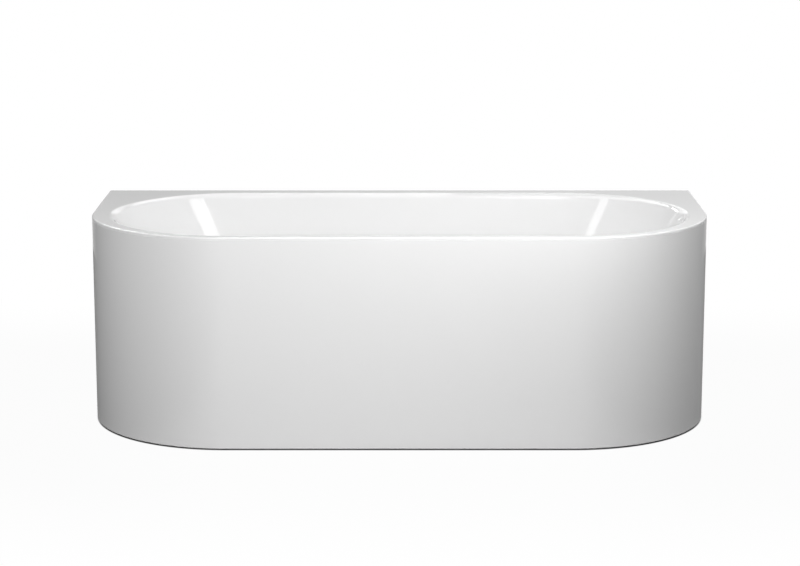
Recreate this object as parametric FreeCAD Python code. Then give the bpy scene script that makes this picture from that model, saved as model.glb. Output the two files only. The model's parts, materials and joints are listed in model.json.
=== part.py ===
"""Back-to-wall bathtub: enamelled basin and skirt on a levelling frame, with pop-up waste and overflow.

Millimetres. +Z is up, the wall is at +Y, and the origin is on the floor under the middle of the plan.
"""
import FreeCAD, Part

import math
import os

Vector = FreeCAD.Vector

# Plan and heights
length = 1800.0
width = 800.0
basin_depth = 470.0
basin_floor_height = 139.0
basin_floor_fall = 4.0
floor_gap = 4.0

# Sheet steel of basin and skirt
basin_wall = 3.0
skirt_wall = 2.5
seam = 0.3
rim_edge_radius = 5.0
rim_lip = 6.0
rear_fold = 25.0
skirt_flange = 22.0
skirt_return = 25.0
skirt_bend = 2.2

# Rim widths run to the corner that rim and basin wall would make without their rounding
rim_front = 42.0
rim_rear = 62.0
rim_end = 62.0
rim_radius = 22.0
base_length = 1120.0
base_width = 470.0
base_radius = 80.0

# Support frame
tube = 30.0
tube_wall = 2.0
rail_corner_gap = 90.0
rail_setback = 100.0
beam_setback = 30.0
beam_plate = 4.0
beam_plate_height = 80.0
tie_thickness = 4.0
tie_tab = 60.0
tie_overlap = 45.0
tie_bend_radius = 5.0
floor_pad_thickness = 6.0
floor_pad_length = 240.0

# Screws, studs and nuts of the frame
screw_radius = 3.0
screw_clearance = 0.2
screw_head_radius = 5.5
screw_head_height = 3.5
screw_reach = 8.0
stud_nut_flats = 10.0
stud_nut_height = 5.0

# Levelling feet
foot_front_inset = 72.5
foot_rear_inset = 115.0
foot_rod_radius = 6.0
foot_rise = 5.0
foot_rod_margin = 1.0
foot_pad_radius = 27.0
foot_pad_height = 16.0
foot_pad_edge = 5.0
foot_pad_hollow = 2.0
foot_neck_radius = 12.0
foot_socket_floor = 8.0
foot_nut_flats = 19.0
foot_nut_height = 10.0
spanner_flats = 17.0
spanner_height = 8.0
spanner_lift = 6.0
thread_clearance = 0.05
socket_clearance = 0.1

# Sound mats bonded to the rear wall of the basin
mat_thickness = 4.0
mat_width = 210.0
mat_height = 190.0
mat_pitch = 230.0
mat_drop = 235.0
mat_count = 3
bond = 0.1

# Pop-up waste in the basin floor
waste_hole_radius = 26.0
waste_recess_radius = 45.0
waste_recess_depth = 4.0
waste_flange_radius = 41.0
waste_flange_edge = 1.0
waste_throat_radius = 25.0
waste_throat_wall = 3.0
waste_throat_length = 32.0
waste_arm_count = 3
waste_arm_width = 5.0
waste_arm_height = 6.0
waste_hub_radius = 9.0
plug_radius = 31.0
plug_edge = 2.0
plug_dome = 3.0
plug_seat_depth = 3.0
plug_seat_margin = 1.0
plug_skirt_length = 9.0
plug_skirt_wall = 3.0
plug_seal_width = 3.0
plug_seal_height = 4.0
lift_pin_radius = 4.0
lift_pin_gap = 6.0
plug_clearance = 0.3
running_clearance = 0.05

# Waste body, trap and outlet
seal_thickness = 3.0
fit_clearance = 0.15
waste_body_radius = 31.0
waste_body_wall = 3.0
waste_body_depth = 64.0
waste_body_edge = 6.0
waste_collar_radius = 41.0
waste_collar_height = 5.0
spigot_length = 20.0
pipe_radius = 20.0
pipe_wall = 2.0
union_length = 22.0
union_wall = 5.0
union_lug = 2.0
union_lug_width = 5.0
union_lug_count = 8
trap_offset = 150.0
trap_radius = 48.0
trap_wall = 3.0
trap_crown = 6.0
trap_crown_radius = 8.0
trap_floor_gap = 16.0
trap_cup_height = 20.0
trap_cup_wall = 4.0
trap_drop = 24.0
outlet_setback = 5.0
outlet_bead = 3.0
outlet_bead_height = 1.5

# Overflow in the front wall of the basin
overflow_drop = 95.0
overflow_hole_radius = 26.0
overflow_cup_radius = 31.0
overflow_cup_wall = 3.0
overflow_cup_depth = 40.0
overflow_collar_radius = 38.0
overflow_collar_height = 4.0
overflow_plate_radius = 33.0
overflow_plate_rim = 8.0
overflow_plate_thickness = 3.0
overflow_hub_radius = 10.0
overflow_hub_depth = 8.0
overflow_spoke_width = 12.0
overflow_screw_circle = 18.0
overflow_screw_radius = 2.5
overflow_screw_head = 4.5
overflow_screw_reach = 18.0
overflow_post_radius = 4.5
overflow_pipe_radius = 16.0
overflow_socket_wall = 3.0
overflow_socket_drop = 52.0
overflow_socket_depth = 20.0
overflow_bend_radius = 60.0

# Turning knob of the overflow
spindle_radius = 5.0
spindle_end_gap = 2.0
drum_radius = 12.0
drum_height = 8.0
knob_radius = 36.0
knob_height = 14.0
knob_gap = 8.0
knob_edge_radius = 3.0
knob_hollow_radius = 31.0
knob_hollow_depth = 7.0
knob_boss_radius = 9.0
grip_length = 58.0
grip_width = 11.0
grip_height = 7.0
grip_edge_radius = 2.0

# Control cable between knob and plug
cable_radius = 3.0
cable_offset = 33.0
cable_bend_radius = 70.0
cable_boss_radius = 7.0
cable_boss_length = 12.0
cable_boss_drop = 34.0
cable_drop = 14.0
cable_grip = 8.0

# Earth tag under the rear rim
earth_tag_x = 520.0
earth_tag_width = 25.0
earth_tag_length = 56.0
earth_tag_thickness = 3.0
earth_tag_setback = 12.0
earth_hole_radius = 3.25

# Faces and heights that follow from the sizes above
front = -width / 2
rear = width / 2
side = length / 2
skirt_inside = side - skirt_wall
rim_top = basin_floor_height + basin_depth
rim_under = rim_top - basin_wall
skirt_top = rim_top - rim_lip - seam
basin_under = basin_floor_height - basin_wall
basin_floor_edge = basin_floor_height + basin_floor_fall
basin_y = (rim_front - rim_rear) / 2
opening_half_length = side - rim_end
opening_half_width = (width - rim_front - rim_rear) / 2
end_slope = math.atan((opening_half_length - base_length / 2) / basin_depth)
side_slope = math.atan((opening_half_width - base_width / 2) / basin_depth)
corner_radius = opening_half_width + rim_end

rail_x = side - corner_radius - rail_corner_gap
rail_top = basin_under - floor_pad_thickness
rail_under = rail_top - tube
rail_front = front + skirt_wall + rail_setback
beam_rear = rear - beam_setback
beam_front = beam_rear - tube
beam_middle_z = (rail_top + rail_under) / 2
tie_stud_z = rail_top + tie_tab - tube / 2
tie_screw_y = rail_front + tie_overlap / 2
foot_front = rail_front + foot_front_inset
foot_rear = beam_front - foot_rear_inset
foot_rod_top = rail_top - tube_wall - foot_rise - foot_rod_margin

waste_seat_z = basin_under - waste_recess_depth
waste_body_top = waste_seat_z - seal_thickness
waste_body_under = waste_body_top - waste_body_depth
waste_throat_end = basin_floor_height - waste_recess_depth - waste_throat_length
waste_throat_bore = waste_throat_radius - waste_throat_wall
plug_under = basin_floor_height - plug_seat_depth + plug_clearance
plug_seal_radius = waste_throat_bore - plug_clearance
plug_skirt_radius = plug_seal_radius - plug_seal_width
waste_outlet_z = waste_body_under + waste_body_wall + pipe_radius
trap_y = basin_y + trap_offset
trap_joint_y = basin_y + waste_body_radius + spigot_length
outlet_joint_y = trap_y + trap_radius + spigot_length
outlet_z = waste_outlet_z - trap_drop

overflow_z = rim_top - overflow_drop
overflow_y = front + rim_front + overflow_drop * math.tan(side_slope)
overflow_inward = Vector(0, math.cos(side_slope), math.sin(side_slope))
overflow_back = -(basin_wall + seal_thickness)
overflow_cup_end = overflow_back - overflow_cup_depth
overflow_centre = Vector(0, overflow_y, overflow_z)
overflow_heart = overflow_centre + overflow_inward * (overflow_back - overflow_cup_depth / 2)
overflow_socket_end = overflow_heart.z - overflow_socket_drop
overflow_joint_y = basin_y - waste_body_radius - spigot_length
overflow_inlet_z = waste_body_under + waste_body_wall + overflow_pipe_radius + pipe_wall
knob_under = overflow_plate_thickness + knob_gap
cable_low_z = overflow_inlet_z - cable_drop


def box(x0, x1, y0, y1, z0, z1):
    """A block between two corners."""
    return Part.makeBox(x1 - x0, y1 - y0, z1 - z0, Vector(x0, y0, z0))


def rod(radius, start, end):
    """A round bar between two points."""
    return Part.makeCylinder(radius, (end - start).Length, start, end - start)


def post(radius, z0, z1, x=0.0, y=0.0):
    """An upright round bar."""
    return Part.makeCylinder(radius, z1 - z0, Vector(x, y, z0))


def ring(outer, inner, z0, z1, x=0.0, y=0.0):
    """An upright tube or washer."""
    return post(outer, z0, z1, x, y).cut(post(inner, z0, z1, x, y))


def nut(flats, bore, z0, z1, x=0.0, y=0.0):
    """An upright hexagonal bar, measured across its flats, with a bore unless that is zero."""
    reach = flats / math.sqrt(3)
    angles = [math.radians(60 * k) for k in range(7)]
    corners = [Vector(x + reach * math.cos(a), y + reach * math.sin(a), z0) for a in angles]
    bar = Part.Face(Part.makePolygon(corners)).extrude(Vector(0, 0, z1 - z0))
    return bar.cut(post(bore, z0, z1, x, y)) if bore else bar


def turned(start, *steps):
    """A solid turned about Z. A step (r, z) is a line, ((r, z), (r, z)) an arc through two points."""
    edges = []
    here = Vector(start[0], 0, start[1])
    for step in (*steps, start):
        if isinstance(step[0], tuple):
            middle, there = (Vector(r, 0, z) for r, z in step)
            edges.append(Part.Arc(here, middle, there).toShape())
        else:
            there = Vector(step[0], 0, step[1])
            edges.append(Part.makeLine(here, there))
        here = there
    return Part.Face(Part.Wire(edges)).revolve(Vector(), Vector(0, 0, 1), 360)


def joined(*shapes):
    """Touching or crossing solids as one."""
    return shapes[0].fuse(list(shapes[1:])).removeSplitter()


def placed(shape, point, direction=Vector(0, 0, 1)):
    """A copy of a shape with its origin at a point and its Z along a direction."""
    moved = shape.copy()
    moved.Placement = FreeCAD.Placement(point, FreeCAD.Rotation(Vector(0, 0, 1), direction))
    return moved


def swept(path, radius):
    """A round bar along a path of lines and arcs."""
    first = path.OrderedEdges[0]
    start = path.OrderedVertexes[0].Point
    profile = Part.makeCircle(radius, start, first.tangentAt(first.FirstParameter))
    return path.makePipeShell([Part.Wire(profile)], True, False)


def edges_on(shape, wire):
    """The edges of a shape that run along a wire."""
    found = []
    for edge in shape.Edges:
        middle = edge.valueAt((edge.FirstParameter + edge.LastParameter) / 2)
        if wire.distToShape(Part.Vertex(middle))[0] < 0.01:
            found.append(edge)
    return found


def plan_wire(inset, z):
    """The outline from above: square at the wall, round in front. The wall side takes no inset."""
    x = side - inset
    y = front + inset
    r = corner_radius - inset
    cx = x - r
    cy = y + r
    slant = r * math.sqrt(0.5)
    return Part.Wire([
        Part.makeLine(Vector(x, rear, z), Vector(-x, rear, z)),
        Part.makeLine(Vector(-x, rear, z), Vector(-x, cy, z)),
        Part.Arc(Vector(-x, cy, z), Vector(-cx - slant, cy - slant, z), Vector(-cx, y, z)).toShape(),
        Part.makeLine(Vector(-cx, y, z), Vector(cx, y, z)),
        Part.Arc(Vector(cx, y, z), Vector(cx + slant, cy - slant, z), Vector(x, cy, z)).toShape(),
        Part.makeLine(Vector(x, cy, z), Vector(x, rear, z)),
    ])


def plan_block(inset, z0, z1):
    """The outline as a solid between two heights."""
    return Part.Face(plan_wire(inset, z0)).extrude(Vector(0, 0, z1 - z0))


def plan_band(outer, inner, z0, z1):
    """A band along the front and both ends between two insets of the outline."""
    return plan_block(outer, z0, z1).cut(plan_block(inner, z0, z1))


def oblong_wire(half_length, r, z):
    """A level outline round the waste, with straight sides and round ends."""
    cx = half_length - r
    slant = r * math.sqrt(0.5)

    def at(x, y):
        return Vector(x, basin_y + y, z)

    return Part.Wire([
        Part.makeLine(at(-cx, -r), at(cx, -r)),
        Part.Arc(at(cx, -r), at(cx + slant, -slant), at(cx + r, 0)).toShape(),
        Part.Arc(at(cx + r, 0), at(cx + slant, slant), at(cx, r)).toShape(),
        Part.makeLine(at(cx, r), at(-cx, r)),
        Part.Arc(at(-cx, r), at(-cx - slant, slant), at(-cx - r, 0)).toShape(),
        Part.Arc(at(-cx - r, 0), at(-cx - slant, -slant), at(-cx, -r)).toShape(),
    ])


def basin_wire(z, skin):
    """A level section of the basin, moved out by a skin."""
    rise = z - basin_floor_height
    half_length = base_length / 2 + rise * math.tan(end_slope) + skin / math.cos(end_slope)
    half_width = base_width / 2 + rise * math.tan(side_slope) + skin / math.cos(side_slope)
    return oblong_wire(half_length, half_width, z)


def basin_form(z0, z1, skin):
    """The basin as a solid form between two heights, with its bottom edge rounded."""
    form = Part.makeLoft([basin_wire(z0, skin), basin_wire(z1, skin)], True, True)
    return form.makeFillet(base_radius + skin, edges_on(form, basin_wire(z0, skin)))


def floor_funnel(drop):
    """The shallow funnel of the basin floor that leads water to the waste, lowered by a drop."""
    edge = oblong_wire(base_length / 2 - base_radius, base_width / 2 - base_radius, basin_floor_edge - drop)
    throat = (waste_hole_radius + waste_recess_radius) / 2
    outlet = oblong_wire(throat, waste_hole_radius, basin_floor_height - drop)
    return Part.makeLoft([edge, outlet], True, True)


def on_front_wall(shape):
    """A shape modelled upright, moved to the overflow: its Z points into the basin, its Y down the wall."""
    moved = shape.copy()
    turn = FreeCAD.Rotation(Vector(1, 0, 0), math.degrees(side_slope) - 90)
    moved.Placement = FreeCAD.Placement(overflow_centre, turn)
    return moved


def basin():
    """The pressed basin: a folded rim, a rounded opening, sloping walls, holes for waste and overflow."""
    rim = plan_block(0, rim_top - rim_lip, rim_top)
    edges = [e for e in edges_on(rim, plan_wire(0, rim_top)) if e.CenterOfMass.y < rear - seam]
    rim = rim.makeFillet(rim_edge_radius, edges).cut(plan_block(basin_wall, rim_top - rim_lip, rim_under))
    fold_x = skirt_inside - skirt_return - seam
    fold = box(-fold_x, fold_x, rear - basin_wall, rear, rim_top - rear_fold, rim_under)
    dish = post(waste_recess_radius + basin_wall, waste_seat_z, basin_floor_height, 0, basin_y)
    bowl = basin_form(basin_floor_edge - basin_wall, rim_under, basin_wall)
    outside = joined(rim, fold, bowl, floor_funnel(basin_wall), dish)
    opening = edges_on(outside, basin_wire(rim_under, basin_wall))
    outside = outside.makeFillet(rim_radius - basin_wall, opening)

    recess = post(waste_recess_radius, basin_floor_height - waste_recess_depth, rim_top, 0, basin_y)
    above = plan_block(-rim_lip, rim_top, rim_top + rim_lip)
    inside = joined(basin_form(basin_floor_edge, rim_top, 0), above, floor_funnel(0), recess)
    inside = inside.makeFillet(rim_radius, edges_on(inside, basin_wire(rim_top, 0)))

    waste_hole = post(waste_hole_radius, waste_seat_z, rim_top, 0, basin_y)
    overflow_hole = on_front_wall(post(overflow_hole_radius, overflow_back, seal_thickness))
    return outside.cut([inside, waste_hole, overflow_hole])


def stud_seats():
    """Where the skirt's studs stand: a point on its inner face and the direction of the stud."""
    seats = []
    for sign in (-1, 1):
        point = Vector(sign * rail_x, front + skirt_wall, tie_stud_z)
        seats.append((point, Vector(0, 1, 0), tie_thickness))
        for step in (-1, 1):
            z = beam_middle_z + step * (beam_plate_height + tube) / 4
            point = Vector(sign * skirt_inside, (beam_front + beam_rear) / 2, z)
            seats.append((point, Vector(-sign, 0, 0), beam_plate))
    return seats


def skirt():
    """The skirt: a sheet round front and ends, folded in at top, bottom and wall, with studs."""
    form = plan_block(0, floor_gap, skirt_top)
    bends = edges_on(form, plan_wire(0, floor_gap)) + edges_on(form, plan_wire(0, skirt_top))
    form = form.makeFillet(skirt_bend, [e for e in bends if e.CenterOfMass.y < rear - seam])
    hollow = plan_block(skirt_wall, floor_gap + skirt_wall, skirt_top - skirt_wall)
    opening = plan_block(skirt_flange, floor_gap, skirt_top)
    returns = []
    for x in (skirt_inside - skirt_return, -skirt_inside):
        returns.append(box(x, x + skirt_return, rear - skirt_wall, rear, floor_gap, skirt_top))
    studs = []
    for point, way, plate in stud_seats():
        studs.append(rod(screw_radius, point, point + way * (plate + stud_nut_height + screw_radius)))
    return joined(form.cut([hollow, opening]), *returns, *studs)


def rim_bond_strip():
    """The strip that bonds the skirt's top flange to the underside of the rim."""
    return plan_band(basin_wall + seam, skirt_flange, skirt_top, rim_under)


def rail(sign):
    """A square tube from front to rear under the basin, bored from below for its two levelling feet."""
    x = sign * rail_x
    half = tube / 2
    bore = half - tube_wall
    solid = box(x - half, x + half, rail_front, beam_front, rail_under, rail_top)
    hollow = box(x - bore, x + bore, rail_front, beam_front, rail_under + tube_wall, rail_top - tube_wall)
    holes = []
    for y in (foot_front, foot_rear):
        holes.append(post(foot_rod_radius + screw_clearance, rail_under, rail_under + half, x, y))
    holes.append(post(screw_radius + screw_clearance, rail_top - half, rail_top, x, tie_screw_y))
    return solid.cut([hollow, *holes])


def rear_beam():
    """A square tube along the wall, with a welded plate at each end that bolts to the skirt."""
    plate_x = skirt_inside - beam_plate
    solid = box(-plate_x, plate_x, beam_front, beam_rear, rail_under, rail_top)
    hollow = box(
        -plate_x,
        plate_x,
        beam_front + tube_wall,
        beam_rear - tube_wall,
        rail_under + tube_wall,
        rail_top - tube_wall,
    )
    low = beam_middle_z - beam_plate_height / 2
    high = beam_middle_z + beam_plate_height / 2
    plates = [box(x, x + beam_plate, beam_front, beam_rear, low, high) for x in (plate_x, -skirt_inside)]
    return joined(solid.cut(hollow), *plates).cut(stud_holes())


def tie(sign):
    """A bent strip from the rail's front end to the skirt."""
    x = sign * rail_x
    half = tube / 2
    skin = front + skirt_wall
    floor = box(x - half, x + half, skin, rail_front + tie_overlap, rail_top, rail_top + tie_thickness)
    tab = box(x - half, x + half, skin, skin + tie_thickness, rail_top, rail_top + tie_tab)
    bend = Part.makeLine(
        Vector(x - half, skin + tie_thickness, rail_top + tie_thickness),
        Vector(x + half, skin + tie_thickness, rail_top + tie_thickness),
    )
    strip = joined(floor, tab)
    strip = strip.makeFillet(tie_bend_radius, edges_on(strip, Part.Wire(bend)))
    screw_hole = post(screw_radius + screw_clearance, rail_top, rail_top + tie_thickness, x, tie_screw_y)
    return strip.cut([screw_hole, *stud_holes()])


def stud_holes():
    """The holes that take the skirt's studs."""
    radius = screw_radius + screw_clearance
    return [rod(radius, point, point + way * plate) for point, way, plate in stud_seats()]


def stud_nuts():
    """A nut on each of the skirt's studs."""
    bore = screw_radius + thread_clearance
    body = nut(stud_nut_flats, bore, 0, stud_nut_height)
    return [placed(body, point + way * plate, way) for point, way, plate in stud_seats()]


def frame_screws():
    """The screw that holds each tie to its rail."""
    screws = []
    top = rail_top + tie_thickness
    for sign in (-1, 1):
        shank = post(screw_radius, rail_top - screw_reach, top, sign * rail_x, tie_screw_y)
        head = post(screw_head_radius, top, top + screw_head_height, sign * rail_x, tie_screw_y)
        head = head.makeFillet(screw_head_height / 2, [head.Edges[0]])
        screws.append(joined(shank, head))
    return screws


def floor_pads():
    """A rubber pad on each rail that carries the basin's floor and follows its fall."""
    half = floor_pad_length / 2
    top = basin_floor_edge - basin_wall
    pads = []
    for x in (-rail_x, rail_x):
        pad = box(x - tube / 2, x + tube / 2, basin_y - half, basin_y + half, rail_top, top)
        pads.append(pad.cut(floor_funnel(basin_wall)))
    return pads


def sound_mats():
    """Damping mats on the outside of the basin's rear wall."""
    outward = Vector(0, math.cos(side_slope), -math.sin(side_slope))
    turn = FreeCAD.Rotation(Vector(1, 0, 0), -90 - math.degrees(side_slope))
    wall_y = rear - rim_rear - mat_drop * math.tan(side_slope)
    mats = []
    for k in range(mat_count):
        x = (k - (mat_count - 1) / 2) * mat_pitch
        mat = box(-mat_width / 2, mat_width / 2, -mat_height / 2, mat_height / 2, 0, mat_thickness)
        seat = Vector(x, wall_y, rim_top - mat_drop) + outward * (basin_wall + bond)
        mat.Placement = FreeCAD.Placement(seat, turn)
        mats.append(mat)
    return mats


def earth_tag():
    """A tag welded under the rear rim, with a round end and a hole for the earth bolt."""
    half = earth_tag_width / 2
    y = rear - earth_tag_setback
    low = rim_under - earth_tag_length + half
    strip = box(earth_tag_x - half, earth_tag_x + half, y - earth_tag_thickness, y, low, rim_under)
    near = Vector(earth_tag_x, y - earth_tag_thickness, low)
    far = Vector(earth_tag_x, y, low)
    return joined(strip, rod(half, near, far)).cut(rod(earth_hole_radius, near, far))


def foot_nuts(top):
    """Four nuts round the levelling rods, below a given height."""
    bore = foot_rod_radius + thread_clearance
    return [nut(foot_nut_flats, bore, top - foot_nut_height, top, x, y) for x, y in foot_places()]


def foot_places():
    """The axes of the four feet, from the front left to the rear right."""
    return [(x, y) for y in (foot_front, foot_rear) for x in (-rail_x, rail_x)]


def foot_rod(x, y):
    """A levelling rod with a hexagon for the spanner."""
    grip = foot_pad_height + spanner_lift
    shank = post(foot_rod_radius, foot_socket_floor, foot_rod_top, x, y)
    return joined(shank, nut(spanner_flats, 0, grip, grip + spanner_height, x, y))


def foot_pad(x, y):
    """A turned foot with a neck that holds the rod."""
    socket = foot_rod_radius + socket_clearance
    waist = (
        (foot_pad_radius + foot_neck_radius) / 2 - foot_pad_hollow,
        (foot_pad_edge + foot_pad_height) / 2 - foot_pad_hollow,
    )
    pad = turned(
        (0, 0),
        (foot_pad_radius, 0),
        (foot_pad_radius, foot_pad_edge),
        (waist, (foot_neck_radius, foot_pad_height)),
        (socket, foot_pad_height),
        (socket, foot_socket_floor),
        (0, foot_socket_floor),
    )
    return placed(pad, Vector(x, y, 0))


def waste_flange():
    """The flange in the basin floor: a seat for the plug, a throat, and arms that guide the lift pin."""
    top = basin_floor_height
    seat = top - plug_seat_depth
    low = top - waste_recess_depth
    seat_radius = plug_radius + plug_seat_margin
    body = turned(
        (waste_throat_bore, waste_throat_end),
        (waste_throat_radius, waste_throat_end),
        (waste_throat_radius, low),
        (waste_flange_radius, low),
        (waste_flange_radius, top - waste_flange_edge),
        (waste_flange_radius - waste_flange_edge, top),
        (seat_radius, top),
        (seat_radius, seat),
        (waste_throat_bore, seat),
    )
    high = waste_throat_end + waste_arm_height
    reach = (waste_throat_radius + waste_throat_bore) / 2
    arm = box(0, reach, -waste_arm_width / 2, waste_arm_width / 2, waste_throat_end, high)
    arms = []
    for k in range(waste_arm_count):
        spoke = arm.copy()
        spoke.rotate(Vector(), Vector(0, 0, 1), 360 * k / waste_arm_count)
        arms.append(spoke)
    flange = joined(body, post(waste_hub_radius, waste_throat_end, high), *arms)
    guide = post(lift_pin_radius + running_clearance, waste_throat_end, high)
    return placed(flange.cut(guide), Vector(0, basin_y, 0))


def waste_plug():
    """The plug: a domed cap with a skirt and a lip that carries the seal."""
    brim = plug_under + plug_edge
    crown = brim + plug_dome
    bore = plug_skirt_radius - plug_skirt_wall
    foot = plug_under - plug_skirt_length
    lip = plug_skirt_radius + plug_seal_width / 2
    sphere = (plug_radius ** 2 + plug_dome ** 2) / (2 * plug_dome)
    shoulder = crown - sphere + math.sqrt(sphere ** 2 - plug_radius ** 2 / 4)
    cap = turned(
        (0, plug_under),
        (bore, plug_under),
        (bore, foot),
        (lip, foot),
        (lip, foot + plug_edge),
        (plug_skirt_radius, foot + plug_edge),
        (plug_skirt_radius, plug_under),
        (plug_radius, plug_under),
        (plug_radius, brim),
        ((plug_radius / 2, shoulder), (0, crown)),
    )
    return placed(cap, Vector(0, basin_y, 0))


def plug_seal():
    """The ring round the plug's skirt, on its lip."""
    low = plug_under - plug_skirt_length + plug_edge
    return ring(plug_seal_radius, plug_skirt_radius, low, low + plug_seal_height, 0, basin_y)


def lift_pin():
    """The pin under the plug that the control cable raises."""
    return post(lift_pin_radius, waste_body_under + waste_body_wall + lift_pin_gap, plug_under, 0, basin_y)


def waste_seal():
    """The flat seal between the basin and the waste body."""
    return ring(waste_collar_radius, waste_hole_radius, waste_body_top, waste_seat_z, 0, basin_y)


def waste_body():
    """The bowl under the waste, with spigots for trap and overflow and a boss for the control cable."""
    heart = Vector(0, basin_y, waste_outlet_z)
    inlet = Vector(0, basin_y, overflow_inlet_z)
    outlet_end = Vector(0, trap_joint_y, waste_outlet_z)
    inlet_end = Vector(0, overflow_joint_y, overflow_inlet_z)
    boss = Vector(cable_offset, basin_y, cable_low_z)
    boss_end = Vector(cable_offset, basin_y - waste_body_radius - cable_boss_length, cable_low_z)
    bowl = post(waste_body_radius, waste_body_under, waste_body_top, 0, basin_y)
    rounded = edges_on(bowl, bottom_circle(waste_body_radius, waste_body_under))
    bore = waste_body_radius - waste_body_wall
    collar = post(waste_collar_radius, waste_body_top - waste_collar_height, waste_body_top, 0, basin_y)
    outside = joined(
        bowl.makeFillet(waste_body_edge, rounded),
        collar,
        rod(pipe_radius, heart, outlet_end),
        rod(overflow_pipe_radius, inlet, inlet_end),
        rod(cable_boss_radius, boss, boss_end),
    )
    neck = waste_throat_radius + fit_clearance
    bores = [
        post(bore, waste_body_under + waste_body_wall, waste_throat_end, 0, basin_y),
        post(neck, waste_throat_end, waste_body_top, 0, basin_y),
        rod(pipe_radius - pipe_wall, heart, outlet_end),
        rod(overflow_pipe_radius - pipe_wall, inlet, inlet_end),
        rod(cable_radius + fit_clearance, boss_end + Vector(0, cable_grip, 0), boss_end),
    ]
    return outside.cut(bores)


def bottom_circle(radius, z):
    """The lower edge of the waste bowl."""
    return Part.Wire(Part.makeCircle(radius, Vector(0, basin_y, z)))


def union_nut(radius, centre):
    """A lugged nut over a pipe joint along Y."""
    half = union_length / 2
    lug_half = union_lug_width / 2
    outer = radius + union_wall
    body = ring(outer, radius + fit_clearance, -half, half)
    lugs = []
    for k in range(union_lug_count):
        lug = box(outer - union_lug, outer + union_lug, -lug_half, lug_half, -half, half)
        lug.rotate(Vector(), Vector(0, 0, 1), 360 * k / union_lug_count)
        lugs.append(lug)
    return placed(joined(body, *lugs), centre, Vector(0, 1, 0))


def trap_body():
    """The trap's housing, closed on top and open below, with an inlet and a lower outlet."""
    heart = Vector(0, trap_y, 0)
    top = waste_outlet_z + pipe_radius + trap_crown
    low = trap_floor_gap + trap_cup_wall
    inlet = Vector(0, trap_y, waste_outlet_z)
    outlet = Vector(0, trap_y, outlet_z)
    inlet_end = Vector(0, trap_joint_y, waste_outlet_z)
    outlet_end = Vector(0, outlet_joint_y, outlet_z)
    drum = post(trap_radius, low, top)
    crown = Part.Wire(Part.makeCircle(trap_radius, Vector(0, 0, top)))
    drum = placed(drum.makeFillet(trap_crown_radius, edges_on(drum, crown)), heart)
    outside = joined(drum, rod(pipe_radius, inlet, inlet_end), rod(pipe_radius, outlet, outlet_end))
    bores = [
        post(trap_radius - trap_wall, low, top - trap_crown / 2, 0, trap_y),
        rod(pipe_radius - pipe_wall, inlet, inlet_end),
        rod(pipe_radius - pipe_wall, outlet, outlet_end),
    ]
    return outside.cut(bores)


def trap_cup():
    """The screw cup under the trap, with grip ribs."""
    bore = trap_radius + fit_clearance
    outer = bore + trap_cup_wall
    top = trap_floor_gap + trap_cup_height
    cup = post(outer, trap_floor_gap, top).cut(post(bore, trap_floor_gap + trap_cup_wall, top))
    ribs = []
    for k in range(2 * union_lug_count):
        rib = post(union_lug, trap_floor_gap, top, outer, 0)
        rib.rotate(Vector(), Vector(0, 0, 1), 180 * k / union_lug_count)
        ribs.append(rib)
    return placed(joined(cup, *ribs), Vector(0, trap_y, 0))


def outlet_pipe():
    """The pipe from the trap to the wall, with a bead that the union nut draws up to."""
    start = Vector(0, outlet_joint_y, outlet_z)
    end = Vector(0, rear - outlet_setback, outlet_z)
    bead = start + Vector(0, union_length / 2, 0)
    collar = rod(pipe_radius + outlet_bead_height, bead, bead + Vector(0, outlet_bead, 0))
    return joined(rod(pipe_radius, start, end), collar).cut(rod(pipe_radius - pipe_wall, start, end))


def overflow_seal():
    """The flat seal between the basin and the overflow body."""
    return on_front_wall(ring(overflow_collar_radius, overflow_hole_radius, overflow_back, -basin_wall))


def overflow_posts():
    """The places of the two screw posts on the overflow's cross."""
    return (-overflow_screw_circle, overflow_screw_circle)


def overflow_body():
    """The cup behind the front wall, with screw posts, a pipe socket and a boss for the control cable."""
    cup = post(overflow_cup_radius, overflow_cup_end, overflow_back)
    collar = post(overflow_collar_radius, overflow_back - overflow_collar_height, overflow_back)
    socket_radius = overflow_pipe_radius + fit_clearance
    heart = overflow_heart
    socket_end = Vector(0, heart.y, overflow_socket_end)
    shoulder = socket_end + Vector(0, 0, overflow_socket_depth)
    boss = Vector(cable_offset, heart.y, heart.z)
    boss_end = boss - Vector(0, 0, cable_boss_drop)
    outside = joined(
        on_front_wall(joined(cup, collar)),
        rod(socket_radius + overflow_socket_wall, heart, socket_end),
        rod(cable_boss_radius, boss, boss_end),
    )
    bore = overflow_cup_radius - overflow_cup_wall
    hollow = post(bore, overflow_cup_end + overflow_cup_wall, overflow_back)
    posts = [post(overflow_post_radius, overflow_cup_end, overflow_back, x) for x in overflow_posts()]
    bored = overflow_screw_radius + socket_clearance
    taps = [post(bored, overflow_back - overflow_screw_reach, overflow_back, x) for x in overflow_posts()]
    body = outside.cut([
        on_front_wall(hollow.cut(posts)),
        rod(overflow_pipe_radius - pipe_wall, heart, shoulder),
        rod(socket_radius, shoulder, socket_end),
        rod(cable_radius + fit_clearance, boss_end + Vector(0, 0, cable_grip), boss_end),
    ])
    return body.cut([on_front_wall(tap) for tap in taps])


def overflow_plate():
    """The plate inside the basin: a ring, a cross with screw holes, and a bearing for the spindle."""
    high = overflow_plate_thickness
    half = overflow_spoke_width / 2
    reach = overflow_plate_radius - overflow_plate_rim / 2
    plate = joined(
        ring(overflow_plate_radius, overflow_plate_radius - overflow_plate_rim, 0, high),
        box(-reach, reach, -half, half, 0, high),
        box(-half, half, -reach, reach, 0, high),
        post(overflow_hub_radius, -overflow_hub_depth, high),
    )
    holes = [post(spindle_radius + running_clearance, -overflow_hub_depth, high)]
    for x in overflow_posts():
        holes.append(post(overflow_screw_radius + socket_clearance, 0, high, x))
    return on_front_wall(plate.cut(holes))


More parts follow.
